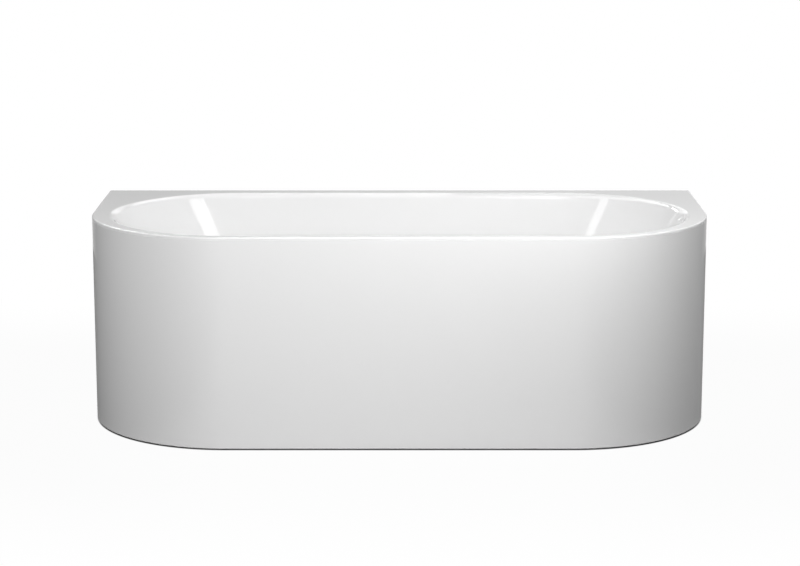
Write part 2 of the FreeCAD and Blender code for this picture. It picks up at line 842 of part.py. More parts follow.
def overflow_screws():
    """The two screws that draw the plate and the overflow body together."""
    screws = []
    high = overflow_plate_thickness
    for x in overflow_posts():
        shank = post(overflow_screw_radius, overflow_back - overflow_screw_reach, high, x)
        head = post(overflow_screw_head, high, high + overflow_screw_radius, x)
        screws.append(on_front_wall(joined(shank, head)))
    return screws


def knob_spindle():
    """The shaft behind the knob, with the drum that winds the control cable."""
    low = overflow_cup_end + overflow_cup_wall + spindle_end_gap
    shaft = post(spindle_radius, low, knob_under)
    return on_front_wall(joined(shaft, post(drum_radius, low, low + drum_height)))


def overflow_knob():
    """The knob: a hollow round cap with a rounded edge, a raised grip and a boss for the spindle."""
    top = knob_under + knob_height
    cap = post(knob_radius, knob_under, top)
    rim = Part.Wire(Part.makeCircle(knob_radius, Vector(0, 0, top)))
    cap = cap.makeFillet(knob_edge_radius, edges_on(cap, rim))
    half = grip_length / 2 - grip_width / 2
    high = top + grip_height
    grip = joined(
        box(-half, half, -grip_width / 2, grip_width / 2, top, high),
        post(grip_width / 2, top, high, -half),
        post(grip_width / 2, top, high, half),
    )
    crest = [e for e in grip.Edges if min(e.BoundBox.ZMin, e.BoundBox.ZMax) > high - 0.01]
    grip = grip.makeFillet(grip_edge_radius, crest)
    hollow = ring(knob_hollow_radius, knob_boss_radius, knob_under, knob_under + knob_hollow_depth)
    return on_front_wall(joined(cap.cut(hollow), grip))


def bend(start, corner, end, radius):
    """A path of two straight runs with a tangent arc at their corner."""
    back = (start - corner).normalize()
    onward = (end - corner).normalize()
    half_angle = back.getAngle(onward) / 2
    leave = corner + back * (radius / math.tan(half_angle))
    join = corner + onward * (radius / math.tan(half_angle))
    middle_way = (back + onward).normalize()
    crest = corner + middle_way * (radius / math.sin(half_angle) - radius)
    return Part.Wire([
        Part.makeLine(start, leave),
        Part.Arc(leave, crest, join).toShape(),
        Part.makeLine(join, end),
    ])


def overflow_pipe():
    """The pipe from the overflow, down behind the skirt and in under the basin to the waste body."""
    start = Vector(0, overflow_heart.y, overflow_socket_end + overflow_socket_depth)
    corner = Vector(0, overflow_heart.y, overflow_inlet_z)
    end = Vector(0, overflow_joint_y, overflow_inlet_z)
    path = bend(start, corner, end, overflow_bend_radius)
    return swept(path, overflow_pipe_radius).cut(swept(path, overflow_pipe_radius - pipe_wall))


def control_cable():
    """The sheathed cable beside the overflow pipe, held in the bosses at both ends."""
    start = Vector(cable_offset, overflow_heart.y, overflow_heart.z - cable_boss_drop + cable_grip)
    corner = Vector(cable_offset, overflow_heart.y, cable_low_z)
    end_y = basin_y - waste_body_radius - cable_boss_length + cable_grip
    end = Vector(cable_offset, end_y, cable_low_z)
    return swept(bend(start, corner, end, cable_bend_radius), cable_radius)


def pieces():
    """Every node by name. A list holds the separate solids of one node."""
    nodes = {
        "basin": basin(),
        "skirt": skirt(),
        "rim_bond_strip": rim_bond_strip(),
        "rail_left": rail(-1),
        "rail_right": rail(1),
        "rear_beam": rear_beam(),
        "tie_left": tie(-1),
        "tie_right": tie(1),
        "frame_screws": frame_screws(),
        "stud_nuts": stud_nuts(),
        "floor_pads": floor_pads(),
        "sound_mats": sound_mats(),
        "earth_tag": earth_tag(),
        "weld_nuts": foot_nuts(rail_under),
        "lock_nuts": foot_nuts(rail_under - foot_nut_height),
        "waste_flange": waste_flange(),
        "waste_seal": waste_seal(),
        "waste_body": waste_body(),
        "waste_plug": waste_plug(),
        "plug_seal": plug_seal(),
        "lift_pin": lift_pin(),
        "trap_body": trap_body(),
        "trap_cup": trap_cup(),
        "trap_nut": union_nut(pipe_radius, Vector(0, trap_joint_y, waste_outlet_z)),
        "outlet_nut": union_nut(pipe_radius, Vector(0, outlet_joint_y, outlet_z)),
        "outlet_pipe": outlet_pipe(),
        "overflow_seal": overflow_seal(),
        "overflow_body": overflow_body(),
        "overflow_plate": overflow_plate(),
        "overflow_screws": overflow_screws(),
        "overflow_knob": overflow_knob(),
        "knob_spindle": knob_spindle(),
        "overflow_pipe": overflow_pipe(),
        "overflow_nut": union_nut(overflow_pipe_radius, Vector(0, overflow_joint_y, overflow_inlet_z)),
        "control_cable": control_cable(),
    }
    for name, (x, y) in zip(("front_left", "front_right", "rear_left", "rear_right"), foot_places()):
        nodes["foot_rod_" + name] = foot_rod(x, y)
        nodes["foot_pad_" + name] = foot_pad(x, y)
    return nodes


os.makedirs("parts", exist_ok=True)
for node, shape in pieces().items():
    solid = Part.makeCompound(shape) if isinstance(shape, list) else shape
    solid.exportStep("parts/" + node + ".step")
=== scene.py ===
"""A back-to-wall bathtub in a studio: glossy enamel, and behind it the frame, feet, waste and overflow."""
import json
import math
from typing import NamedTuple

import bmesh
import bpy
from mathutils import Matrix, Vector

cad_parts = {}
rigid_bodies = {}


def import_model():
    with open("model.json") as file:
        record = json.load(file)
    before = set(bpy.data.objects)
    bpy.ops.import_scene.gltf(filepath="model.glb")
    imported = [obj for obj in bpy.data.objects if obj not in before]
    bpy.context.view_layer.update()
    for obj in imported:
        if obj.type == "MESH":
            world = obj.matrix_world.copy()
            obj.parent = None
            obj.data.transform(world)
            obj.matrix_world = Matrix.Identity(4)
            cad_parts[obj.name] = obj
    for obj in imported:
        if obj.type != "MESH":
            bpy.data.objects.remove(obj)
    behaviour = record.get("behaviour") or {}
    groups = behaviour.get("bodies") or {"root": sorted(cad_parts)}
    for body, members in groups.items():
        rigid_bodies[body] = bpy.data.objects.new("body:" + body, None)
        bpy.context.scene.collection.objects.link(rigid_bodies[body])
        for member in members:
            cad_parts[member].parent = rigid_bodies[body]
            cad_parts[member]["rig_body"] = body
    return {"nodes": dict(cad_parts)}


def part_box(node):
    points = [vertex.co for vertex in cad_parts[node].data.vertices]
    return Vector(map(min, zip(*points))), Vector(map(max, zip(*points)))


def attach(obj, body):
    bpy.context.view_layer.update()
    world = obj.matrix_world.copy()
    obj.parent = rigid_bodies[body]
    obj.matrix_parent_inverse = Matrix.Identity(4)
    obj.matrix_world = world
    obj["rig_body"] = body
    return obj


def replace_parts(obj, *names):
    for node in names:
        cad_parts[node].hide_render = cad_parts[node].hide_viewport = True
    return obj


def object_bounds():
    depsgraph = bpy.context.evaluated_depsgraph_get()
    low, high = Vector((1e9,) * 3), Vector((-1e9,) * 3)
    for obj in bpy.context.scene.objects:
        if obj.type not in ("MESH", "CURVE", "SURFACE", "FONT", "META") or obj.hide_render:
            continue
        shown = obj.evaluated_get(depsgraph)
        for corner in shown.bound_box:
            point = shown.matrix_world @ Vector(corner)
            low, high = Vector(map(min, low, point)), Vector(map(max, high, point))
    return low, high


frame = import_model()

bl_info = {
    "name": "Back-to-wall bathtub",
    "version": (1, 0, 0),
    "blender": (4, 5, 0),
    "location": "3D View > Sidebar > Bathtub",
    "description": "Dresses the bathtub in enamel, metal, rubber and plastic, and sets up its studio",
    "category": "Object",
}

CAD_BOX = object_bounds()
HALF_LENGTH, HALF_WIDTH, RIM_TOP = CAD_BOX[1]
SKIRT_LOW, SKIRT_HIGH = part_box("skirt")
FOOT_NAMES = ("front_left", "front_right", "rear_left", "rear_right")

# How finely the meshes are stepped
LINE_STEPS = 24
ARC_STEPS = 32
EDGE_STEPS = 8
RIM_STEPS = 14
FLOOR_ROUND_STEPS = 20
FALL_STEPS = 12
RECESS_STEPS = 6
SKIRT_CORNER_STEPS = 48
SKIRT_BEND_STEPS = 8
THREAD_STEPS = 20
ROUND_SIDES = 32
STUDIO_SIDES = 96
RIM_SHARES = (0.03, 0.97)
WALL_SHARES = (0.01, 0.25, 0.5, 0.75, 0.99)

# Edges: loose points this near are joined, and sharper edges than these angles stay crisp or are rounded
JOIN_DISTANCE = 0.000005
CRISP_ANGLE = math.radians(32)
ROUNDED_ANGLE = math.radians(35)
FINE_ROUNDING = 0.0004
PLASTIC_ROUNDING = 0.0005
STEEL_ROUNDING = 0.0006
MAT_ROUNDING = 0.0008

DRILL_REACH = 0.02
WELD_SEED = 7
STUDIO_RADIUS = 3.0
SENSOR_WIDTH = 36.0
WHITE = (1.0, 1.0, 1.0, 1.0)
RAYS = ("Is Camera Ray", "Is Glossy Ray", "Is Transmission Ray")

# A sheet's finishes by number: its face, its reverse and its studs
FACE, REVERSE, STUDS = range(3)

# Sockets that share their name with another of the node, by number
MIX_FACTOR, MIX_FIRST, MIX_SECOND, MIX_RESULT = 0, 6, 7, 2
SHADER_FACTOR, SHADER_FIRST, SHADER_SECOND = 0, 1, 2
RANDOM_LOW, RANDOM_HIGH, RANDOM_VALUE = 2, 3, 1


def size(name, default, description):
    """A length in metres that a user may change."""
    return bpy.props.FloatProperty(
        name=name, description=description, default=default, unit="LENGTH", subtype="DISTANCE", precision=4
    )


def tint(name, default, description):
    """A colour that a user may change."""
    return bpy.props.FloatVectorProperty(
        name=name, description=description, default=default, size=3, min=0.0, max=1.0, subtype="COLOR"
    )


def power(name, default, description):
    """The power of a lamp."""
    return bpy.props.FloatProperty(
        name=name, description=description, default=default, min=0.0, unit="POWER"
    )


class BathtubSizes(bpy.types.PropertyGroup):
    """The pressed steel's sizes, as the solids have them."""

    rim_front: size("Front rim", 0.042, "From the front face to the corner of rim and basin wall")
    rim_rear: size("Rear rim", 0.062, "From the wall to the corner of rim and basin wall")
    rim_end: size("End rim", 0.062, "From an end to the corner of rim and basin wall")
    rim_radius: size("Inner rounding", 0.022, "Rounding between rim and basin wall")
    edge_radius: size("Outer rounding", 0.005, "Rounding of the rim's outer edge")
    rear_edge_radius: size("Rear rounding", 0.0015, "Rounding of the rim's edge at the wall")
    rim_lip: size("Rim lip", 0.006, "Height of the rim's turned-down lip")
    rear_fold: size("Rear fold", 0.025, "Height of the rim's fold at the wall")
    basin_wall: size("Basin sheet", 0.003, "Thickness of the basin's steel")
    basin_depth: size("Basin depth", 0.470, "From the rim to the basin floor")
    floor_fall: size("Floor fall", 0.004, "How far the basin floor falls from its edge to the waste")
    base_length: size("Floor length", 1.120, "Length of the basin floor without its rounding")
    base_width: size("Floor width", 0.470, "Width of the basin floor without its rounding")
    base_radius: size("Floor rounding", 0.080, "Rounding between basin wall and floor")
    recess_radius: size("Waste recess", 0.045, "Radius of the recess round the waste")
    recess_depth: size("Waste recess depth", 0.004, "Depth of the recess round the waste")
    recess_lip: size("Recess rounding", 0.004, "Width of the rounding from the basin floor into the recess")
    waste_hole: size("Waste hole", 0.026, "Radius of the waste hole")
    overflow_hole: size("Overflow hole", 0.026, "Radius of the overflow hole")
    overflow_drop: size("Overflow drop", 0.095, "From the rim to the middle of the overflow")
    skirt_wall: size("Skirt sheet", 0.0025, "Thickness of the skirt's steel")
    skirt_flange: size("Skirt flange", 0.022, "Width of the skirt's top and bottom flanges")
    skirt_return: size("Skirt return", 0.025, "Width of the skirt's flanges at the wall")
    rod_radius: size("Rod", 0.00595, "Radius of a levelling rod over its thread")
    rod_pitch: size("Thread pitch", 0.00175, "Rise of one turn of the thread")
    rod_thread: size("Thread depth", 0.0007, "Depth of the thread")
    spanner_flats: size("Spanner flats", 0.017, "Width across the rod's flats for a spanner")
    spanner_bottom: size("Spanner place", 0.022, "From the floor to the rod's flats")
    spanner_height: size("Spanner height", 0.008, "Height of the rod's flats")
    beam_plate: size("Beam plate", 0.004, "Thickness of the plates at the rear beam's ends")
    weld_radius: size("Weld", 0.0019, "Radius of a weld bead")
    weld_step: size("Weld step", 0.0015, "From one drop of a weld bead to the next")
    stud_radius: size("Stud", 0.003, "Radius of the skirt's threaded studs")
    stud_reach: size("Stud length", 0.012, "From the skirt's reverse to the end of a stud")
    skirt_bend: size("Skirt bend", 0.0022, "Outer radius of the skirt's folds")


class BathtubColours(bpy.types.PropertyGroup):
    """Base colours of the finishes."""

    enamel: tint("Enamel", (0.86, 0.86, 0.86), "White enamel of basin and skirt")
    ground_coat: tint("Ground coat", (0.055, 0.062, 0.075), "Dark enamel on the reverse of the steel")
    speck: tint("Speck", (0.45, 0.47, 0.5), "Pale specks in the dark enamel")
    galvanised: tint("Galvanised steel", (0.56, 0.57, 0.58), "Frame of the bathtub")
    zinc: tint("Zinc", (0.66, 0.67, 0.66), "Nuts, screws and rods")
    chrome: tint("Chrome", (0.80, 0.81, 0.82), "Waste and overflow trim")
    white_plastic: tint("White plastic", (0.74, 0.74, 0.72), "Waste body, trap and pipes")
    grey_plastic: tint("Grey plastic", (0.13, 0.135, 0.14), "Union nuts")
    black_plastic: tint("Black plastic", (0.022, 0.022, 0.023), "Feet and cable sheath")
    rubber: tint("Rubber", (0.018, 0.018, 0.018), "Seals and pads")
    bitumen: tint("Bitumen", (0.028, 0.027, 0.026), "Sound mats")


class BathtubStudio(bpy.types.PropertyGroup):
    """Camera and lamps."""

    camera_x: size("Camera X", 0.0017, "Place of the camera along the wall")
    camera_distance: size("Camera distance", 6.521, "From the middle of the plan to the camera")
    camera_height: size("Camera height", 1.757, "Height of the camera over the floor")
    camera_dip: bpy.props.FloatProperty(
        name="Camera dip", description="How far the camera looks down",
        default=math.radians(11.771), subtype="ANGLE",
    )
    lens: bpy.props.FloatProperty(
        name="Lens", description="Focal length on a 36 mm frame", default=101.5, subtype="DISTANCE_CAMERA"
    )
    key_power: power("Key", 16.5, "Soft lamp in front")
    fill_power: power("Fill", 26.7, "Soft lamp low in front on the left")
    left_power: power("Left", 9.9, "Soft lamp low on the left")
    right_power: power("Right", 13.9, "Soft lamp low on the right")
    back_power: power("Back", 5.9, "Soft lamp over the rim on the right")
    behind_power: power("Behind", 16.0, "Soft lamp behind on the right, for the basin's front wall")
    top_power: power("Top", 54.0, "Overhead lamp mirrored in the rim's rounding on the left")
    top_right_power: power("Top right", 15.0, "Overhead lamp mirrored in the rim's rounding on the right")
    strip_right_power: power("Right strip", 11.0, "Tall lamp mirrored in the basin's left end")
    strip_left_power: power("Left strip", 5.5, "Tall lamp mirrored in the basin's right end")
    rear_power: power("Rear", 20.0, "Soft lamp behind, for the frame")
    glint_power: power("Glint", 36.0, "Far lamp mirrored in the rim's outer edge on the left")
    sky_power: power("Sky", 28.0, "Far panel mirrored in the rim's roundings at both ends")
    ambient: bpy.props.FloatProperty(
        name="Ambient", description="Even light from all round", default=0.0, min=0.0, subtype="FACTOR"
    )


def sizes():
    """The scene's sizes."""
    return bpy.context.scene.bathtub_sizes


def colours():
    """The scene's base colours."""
    return bpy.context.scene.bathtub_colours


def studio():
    """The scene's camera and lamps."""
    return bpy.context.scene.bathtub_studio


class Field:
    """A socket in a node tree. Arithmetic on it adds Math nodes."""

    def __init__(self, tree, socket):
        self.tree = tree
        self.socket = socket

    def math(self, operation, *operands):
        return self.tree.add("ShaderNodeMath", dict(enumerate(operands)), operation=operation)

    def __add__(self, other):
        return self.math("ADD", self, other)

    def __radd__(self, other):
        return self.math("ADD", other, self)

    def __sub__(self, other):
        return self.math("SUBTRACT", self, other)

    def __rsub__(self, other):
        return self.math("SUBTRACT", other, self)

    def __mul__(self, other):
        return self.math("MULTIPLY", self, other)

    def __rmul__(self, other):
        return self.math("MULTIPLY", other, self)

    def __truediv__(self, other):
        return self.math("DIVIDE", self, other)

    def __gt__(self, other):
        return self.math("GREATER_THAN", self, other)

    def __lt__(self, other):
        return self.math("LESS_THAN", self, other)

    def __abs__(self):
        return self.math("ABSOLUTE", self)

    def __neg__(self):
        return self.math("SUBTRACT", 0.0, self)

    def root(self):
        return self.math("SQRT", self)

    def larger(self, other):
        return self.math("MAXIMUM", self, other)


class Tree:
    """A node tree in the making, for a finish or for geometry."""

    def __init__(self, node_tree):
        self.node_tree = node_tree

    def add(self, kind, inputs=None, output=0, **settings):
        """Adds a node with its settings first and then its sockets, and gives one of its outputs."""
        node = self.node_tree.nodes.new(kind)
        for key, value in settings.items():
            setattr(node, key, value)
        for key, value in (inputs or {}).items():
            if isinstance(value, Field):
                self.node_tree.links.new(value.socket, node.inputs[key])
            elif isinstance(value, list):
                for field in value:
                    self.node_tree.links.new(field.socket, node.inputs[key])
            else:
                node.inputs[key].default_value = value
        return Field(self, node.outputs[output]) if node.outputs else None

    def fan(self, kind, names, inputs=None):
        """Adds a node and gives several of its outputs."""
        node = self.add(kind, inputs).socket.node
        return [Field(self, node.outputs[name]) for name in names]

    def mix(self, factor, first, second):
        """A shader between two shaders."""
        inputs = {SHADER_FACTOR: factor, SHADER_FIRST: first, SHADER_SECOND: second}
        return self.add("ShaderNodeMixShader", inputs)

    def ramp(self, factor, low, high, course="SMOOTHSTEP"):
        """A factor spread from 0 to 1 between two of its values."""
        inputs = {"Value": factor, "From Min": low, "From Max": high}
        return self.add("ShaderNodeMapRange", inputs, interpolation_type=course)


class Finish(Tree):
    """A material in the making."""

    def __init__(self, name):
        self.material = bpy.data.materials.new(name)
        self.material.use_nodes = True
        self.material.node_tree.nodes.clear()
        super().__init__(self.material.node_tree)
        self.place = self.add("ShaderNodeTexCoord", output="Object")

    def noise(self, scale, detail):
        """Cloudy variation from 0 to 1, with about scale blotches to the metre."""
        return self.add("ShaderNodeTexNoise", {"Vector": self.place, "Scale": scale, "Detail": detail})

    def cells(self, scale):
        """Irregular coloured cells, with about scale of them to the metre."""
        return self.add("ShaderNodeTexVoronoi", {"Vector": self.place, "Scale": scale}, "Color")

    def blend(self, factor, first, second):
        """A colour between two colours."""
        inputs = {MIX_FACTOR: factor, MIX_FIRST: first, MIX_SECOND: second}
        return self.add("ShaderNodeMix", inputs, MIX_RESULT, data_type="RGBA")

    def shades(self, factor, colour, darkest, lightest):
        """A colour that varies between two levels of itself."""
        return self.blend(factor, opaque(colour, darkest), opaque(colour, lightest))

    def relief(self, height, depth, strength):
        """A surface normal from a height between 0 and 1 and a depth in metres."""
        return self.add("ShaderNodeBump", {"Height": height, "Distance": depth, "Strength": strength})

    def surface(self, **sockets):
        """Ends the material in one Principled surface."""
        inputs = {key.replace("_", " "): value for key, value in sockets.items()}
        shader = self.add("ShaderNodeBsdfPrincipled", inputs)
        self.add("ShaderNodeOutputMaterial", {"Surface": shader})
        return self.material


class Growth(Tree):
    """A geometry tree in the making. Its inputs are lengths, and others by the kind of their socket."""

    def __init__(self, name, lengths, **others):
        self.group = bpy.data.node_groups.new(name, "GeometryNodeTree")
        super().__init__(self.group)
        face = self.group.interface
        face.new_socket("Geometry", in_out="INPUT", socket_type="NodeSocketGeometry")
        for length in lengths:
            face.new_socket(length, in_out="INPUT", socket_type="NodeSocketFloat").subtype = "DISTANCE"
        for other, kind in others.items():
            face.new_socket(other, in_out="INPUT", socket_type="NodeSocket" + kind)
        face.new_socket("Material", in_out="INPUT", socket_type="NodeSocketMaterial")
        face.new_socket("Geometry", in_out="OUTPUT", socket_type="NodeSocketGeometry")
        self.start = self.add("NodeGroupInput")

    def given(self, name):
        """One of the tree's inputs."""
        return Field(self, self.start.socket.node.outputs[name])

    def end(self, shape):
        """Ends the tree in real geometry with its material."""
        shape = self.add("GeometryNodeRealizeInstances", {"Geometry": shape})
        inputs = {"Geometry": shape, "Material": self.given("Material")}
        self.add("NodeGroupOutput", {"Geometry": self.add("GeometryNodeSetMaterial", inputs)})
        return self.group


def opaque(colour, level=1.0):
    """A colour with alpha, made lighter or darker by a level."""
    return (*[min(1.0, channel * level) for channel in colour], 1.0)


def white_enamel():
    """Glass-hard white enamel: even in colour, with a faint ripple in its gloss."""
    finish = Finish("White enamel")
    cloud = finish.noise(scale=3.0, detail=3.0)
    grain = finish.noise(scale=900.0, detail=1.0)
    ripple = finish.noise(scale=70.0, detail=1.0)
    return finish.surface(
        Base_Color=finish.shades(cloud, colours().enamel, darkest=0.992, lightest=1.008),
        Roughness=0.02 + 0.015 * cloud + 0.006 * grain,
        Normal=finish.relief(ripple, depth=0.00002, strength=0.5),
        Specular_IOR_Level=0.3,
    )


def ground_coat():
    """Dark enamel with pale specks, as on the reverse of enamelled steel."""
    finish = Finish("Ground coat")
    speck = finish.ramp(finish.noise(scale=700.0, detail=2.0), low=0.62, high=0.70)
    cloud = finish.noise(scale=9.0, detail=4.0)
    peel = finish.noise(scale=260.0, detail=3.0)
    base = finish.shades(cloud, colours().ground_coat, darkest=0.75, lightest=1.35)
    return finish.surface(
        Base_Color=finish.blend(0.35 * speck, base, opaque(colours().speck)),
        Roughness=0.28 + 0.22 * cloud,
        Normal=finish.relief(peel, depth=0.0002, strength=0.5),
    )


def galvanised_steel():
    """Zinc-dipped steel with its crystal spangle."""
    finish = Finish("Galvanised steel")
    spangle = finish.add("ShaderNodeSeparateColor", {"Color": finish.cells(scale=95.0)})
    cloud = finish.noise(scale=14.0, detail=4.0)
    mix = 0.6 * spangle + 0.4 * cloud
    return finish.surface(
        Base_Color=finish.shades(mix, colours().galvanised, darkest=0.78, lightest=1.15),
        Metallic=1.0,
        Roughness=0.34 + 0.2 * mix,
        Normal=finish.relief(spangle, depth=0.00006, strength=0.4),
    )


def bright_zinc():
    """Bright zinc plating on turned steel."""
    finish = Finish("Bright zinc")
    cloud = finish.noise(scale=60.0, detail=3.0)
    fine = finish.noise(scale=1500.0, detail=1.0)
    return finish.surface(
        Base_Color=finish.shades(cloud, colours().zinc, darkest=0.82, lightest=1.12),
        Metallic=1.0,
        Roughness=0.24 + 0.14 * cloud,
        Normal=finish.relief(fine, depth=0.00003, strength=0.35),
    )


def polished_chrome():
    """Mirror chrome with the faintest haze of wiping."""
    finish = Finish("Polished chrome")
    haze = finish.noise(scale=40.0, detail=4.0)
    return finish.surface(
        Base_Color=finish.shades(haze, colours().chrome, darkest=0.96, lightest=1.04),
        Metallic=1.0,
        Roughness=0.04 + 0.05 * haze,
    )


def moulded_plastic(name, colour, grain_depth):
    """Moulded polypropylene with a fine spark-eroded grain."""
    finish = Finish(name)
    cloud = finish.noise(scale=18.0, detail=3.0)
    grain = finish.noise(scale=1100.0, detail=2.0)
    return finish.surface(
        Base_Color=finish.shades(cloud, colour, darkest=0.94, lightest=1.06),
        Roughness=0.38 + 0.12 * cloud,
        Normal=finish.relief(grain, grain_depth, strength=0.5),
    )


def matt_rubber(name, colour, pore_scale):
    """Matt black rubber or bitumen with a dusty bloom."""
    finish = Finish(name)
    bloom = finish.noise(scale=25.0, detail=5.0)
    pores = finish.noise(pore_scale, detail=3.0)
    return finish.surface(
        Base_Color=finish.shades(bloom, colour, darkest=0.7, lightest=1.9),
        Roughness=0.68 + 0.2 * bloom,
        Normal=finish.relief(pores, depth=0.0003, strength=0.6),
    )


FINISHES = {
    "white_enamel": white_enamel,
    "ground_coat": ground_coat,
    "galvanised_steel": galvanised_steel,
    "zinc_fastener": bright_zinc,
    "chrome": polished_chrome,
    "white_plastic": lambda: moulded_plastic("White plastic", colours().white_plastic, grain_depth=0.00008),
    "grey_plastic": lambda: moulded_plastic("Grey plastic", colours().grey_plastic, grain_depth=0.0001),
    "black_plastic": lambda: moulded_plastic("Black plastic", colours().black_plastic, grain_depth=0.0001),
    "black_rubber": lambda: matt_rubber("Black rubber", colours().rubber, pore_scale=420.0),
    "bitumen": lambda: matt_rubber("Bitumen sheet", colours().bitumen, pore_scale=240.0),
}
made_finishes = {}


def finish_of(name):
    """The material of a finish, made on first use."""
    if name not in made_finishes:
        made_finishes[name] = FINISHES[name]()
    return made_finishes[name]


def add_object(name, data):
    """A new object in the scene."""
    thing = bpy.data.objects.new(name, data)
    bpy.context.scene.collection.objects.link(thing)
    return thing


def plain_mesh(maker):
    """The mesh that an object's modifiers make. The object itself is removed."""
    graph = bpy.context.evaluated_depsgraph_get()
    mesh = bpy.data.meshes.new_from_object(maker.evaluated_get(graph))
    bpy.data.objects.remove(maker)
    return mesh


def new_piece(name, mesh, body):
    """An object at the origin that rides on a body, shaded smooth with crisp edges."""
    mesh.shade_smooth()
    mesh.set_sharp_from_angle(angle=CRISP_ANGLE)
    piece = add_object(name, mesh)
    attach(piece, body)
    return piece


def round_edges(piece, width):
    """Joins a piece's loose triangles and gives its edges a small rounding."""
    piece.modifiers.new("weld", "WELD").merge_threshold = JOIN_DISTANCE
    bevel = piece.modifiers.new("edge rounding", "BEVEL")
    bevel.width = width
    bevel.segments = 2
    bevel.limit_method = "ANGLE"
    bevel.angle_limit = ROUNDED_ANGLE


def dress(slot, nodes, rounding):
    """Gives straight CAD nodes a finish and softly rounded edges."""
    for node in nodes:
        piece = frame["nodes"][node]
        for place in piece.material_slots:
            place.link = "OBJECT"
            place.material = finish_of(slot)
        round_edges(piece, rounding)


def dress_round(slot, nodes, rounding):
    """Stands a smoothly shaded copy with rounded edges in for each turned or moulded CAD node."""
    for node in nodes:
        maker = add_object(node, frame["nodes"][node].data.copy())
        maker.data.materials.clear()
        maker.data.materials.append(finish_of(slot))
        round_edges(maker, rounding)
        mesh = plain_mesh(maker)
        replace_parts(new_piece(node + "_smooth", mesh, frame["nodes"][node]["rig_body"]), node)


def stations():
    """Places round the plan, anticlockwise from the front left: a share of the run and a heading."""
    places = []
    for start, heading in ((-1, -90), (1, 90)):
        for step in range(LINE_STEPS):
            places.append((start - 2 * start * step / LINE_STEPS, math.radians(heading)))
        for step in range(2 * ARC_STEPS):
            places.append((-start, math.radians(heading + 90 * step / ARC_STEPS)))
    return places


def corner_radius():
    """Radius of the front corners, whose rim is as wide as at the ends."""
    s = sizes()
    return HALF_WIDTH - (s.rim_front + s.rim_rear) / 2 + s.rim_end


def outline_point(share, heading, inset, z):
    """A point of the plan's outline: round at the front corners, square at the wall."""
    s = sizes()
    corner = corner_radius()
    centre_x = HALF_LENGTH - corner
    centre_y = corner - HALF_WIDTH
    reach = corner - inset
    along, across = math.cos(heading), math.sin(heading)
    if across <= 0:
        return Vector((share * centre_x + reach * along, centre_y + reach * across, z))
    spread = max(abs(along), across)
    rear = HALF_WIDTH - inset * s.rear_edge_radius / s.edge_radius
    x = share * centre_x + reach * along / spread
    y = centre_y + (rear - centre_y) * across / spread
    return Vector((x, y, z))


class BasinForm:
    """The basin's inner surface, ruled between an oblong floor and an oblong opening."""

    def __init__(self):
        s = sizes()
        self.floor = RIM_TOP - s.basin_depth
        self.floor_edge = self.floor + s.floor_fall
        self.middle = (s.rim_front - s.rim_rear) / 2
        self.depth = s.basin_depth
        self.low_round = s.base_width / 2
        self.high_round = HALF_WIDTH - (s.rim_front + s.rim_rear) / 2
        self.low_run = s.base_length / 2 - self.low_round
        self.high_run = HALF_LENGTH - s.rim_end - self.high_round

    def wall(self, share, heading, z):
        """A point of the sloping wall."""
        rise = (z - self.floor) / self.depth
        reach = self.low_round + rise * (self.high_round - self.low_round)
        run = self.low_run + rise * (self.high_run - self.low_run)
        return Vector((share * run + reach * math.cos(heading), self.middle + reach * math.sin(heading), z))

    def slope(self, share, heading):
        """How far the wall leans from upright."""
        run = (self.high_run - self.low_run) * share * math.cos(heading)
        return math.atan((run + self.high_round - self.low_round) / self.depth)

    def rounding(self, share, heading, radius, turn, at_floor):
        """A point of the rounding at floor or rim. turn runs from 0 on the level to 1 on the wall."""
        lean = self.slope(share, heading)
        outward = Vector((math.cos(heading), math.sin(heading), 0))
        inward = Vector((0, 0, math.sin(lean))) - outward * math.cos(lean)
        swing = turn * (math.pi / 2 - lean)
        if at_floor:
            contact = self.wall(share, heading, self.floor_edge + radius * (1 - math.sin(lean)))
            centre = contact + inward * radius
            return centre + outward * radius * math.sin(swing) - Vector((0, 0, radius * math.cos(swing)))
        contact = self.wall(share, heading, RIM_TOP - radius * (1 - math.sin(lean)))
        centre = contact - inward * radius
        return centre - outward * radius * math.sin(swing) + Vector((0, 0, radius * math.cos(swing)))


def between(first, last, shares):
    """Rings at some shares of the way from one ring to another."""
    return [[near.lerp(far, share) for near, far in zip(first, last)] for share in shares]


def waste_rings(form, edge):
    """Rings of the basin floor from its edge into the recess and on to the waste hole."""
    s = sizes()
    half_depth = s.recess_depth / 2

    def circle(radius, z):
        ring = []
        for point in edge:
            angle = math.atan2(point.y - form.middle, point.x)
            ring.append(Vector((radius * math.cos(angle), form.middle + radius * math.sin(angle), z)))
        return ring

    rings = []
    shares = [step / FALL_STEPS for step in range(1, FALL_STEPS)]
    dish = circle(s.recess_radius + s.recess_lip, form.floor)
    for share, ring in zip(shares, between(edge, dish, shares)):
        fall = s.floor_fall * share * share * (3 - 2 * share)
        rings.append([Vector((point.x, point.y, form.floor_edge - fall)) for point in ring])
    swings = [math.pi / 2 * step / RECESS_STEPS for step in range(RECESS_STEPS + 1)]
    for swing in swings:
        radius = s.recess_radius + s.recess_lip * (1 - math.sin(swing))
        rings.append(circle(radius, form.floor - half_depth * (1 - math.cos(swing))))
    for swing in swings[1:]:
        radius = s.recess_radius - half_depth * (1 - math.cos(swing))
        rings.append(circle(radius, form.floor - half_depth * (1 + math.sin(swing))))
    rings.append(circle(s.waste_hole, form.floor - s.recess_depth))
    return rings


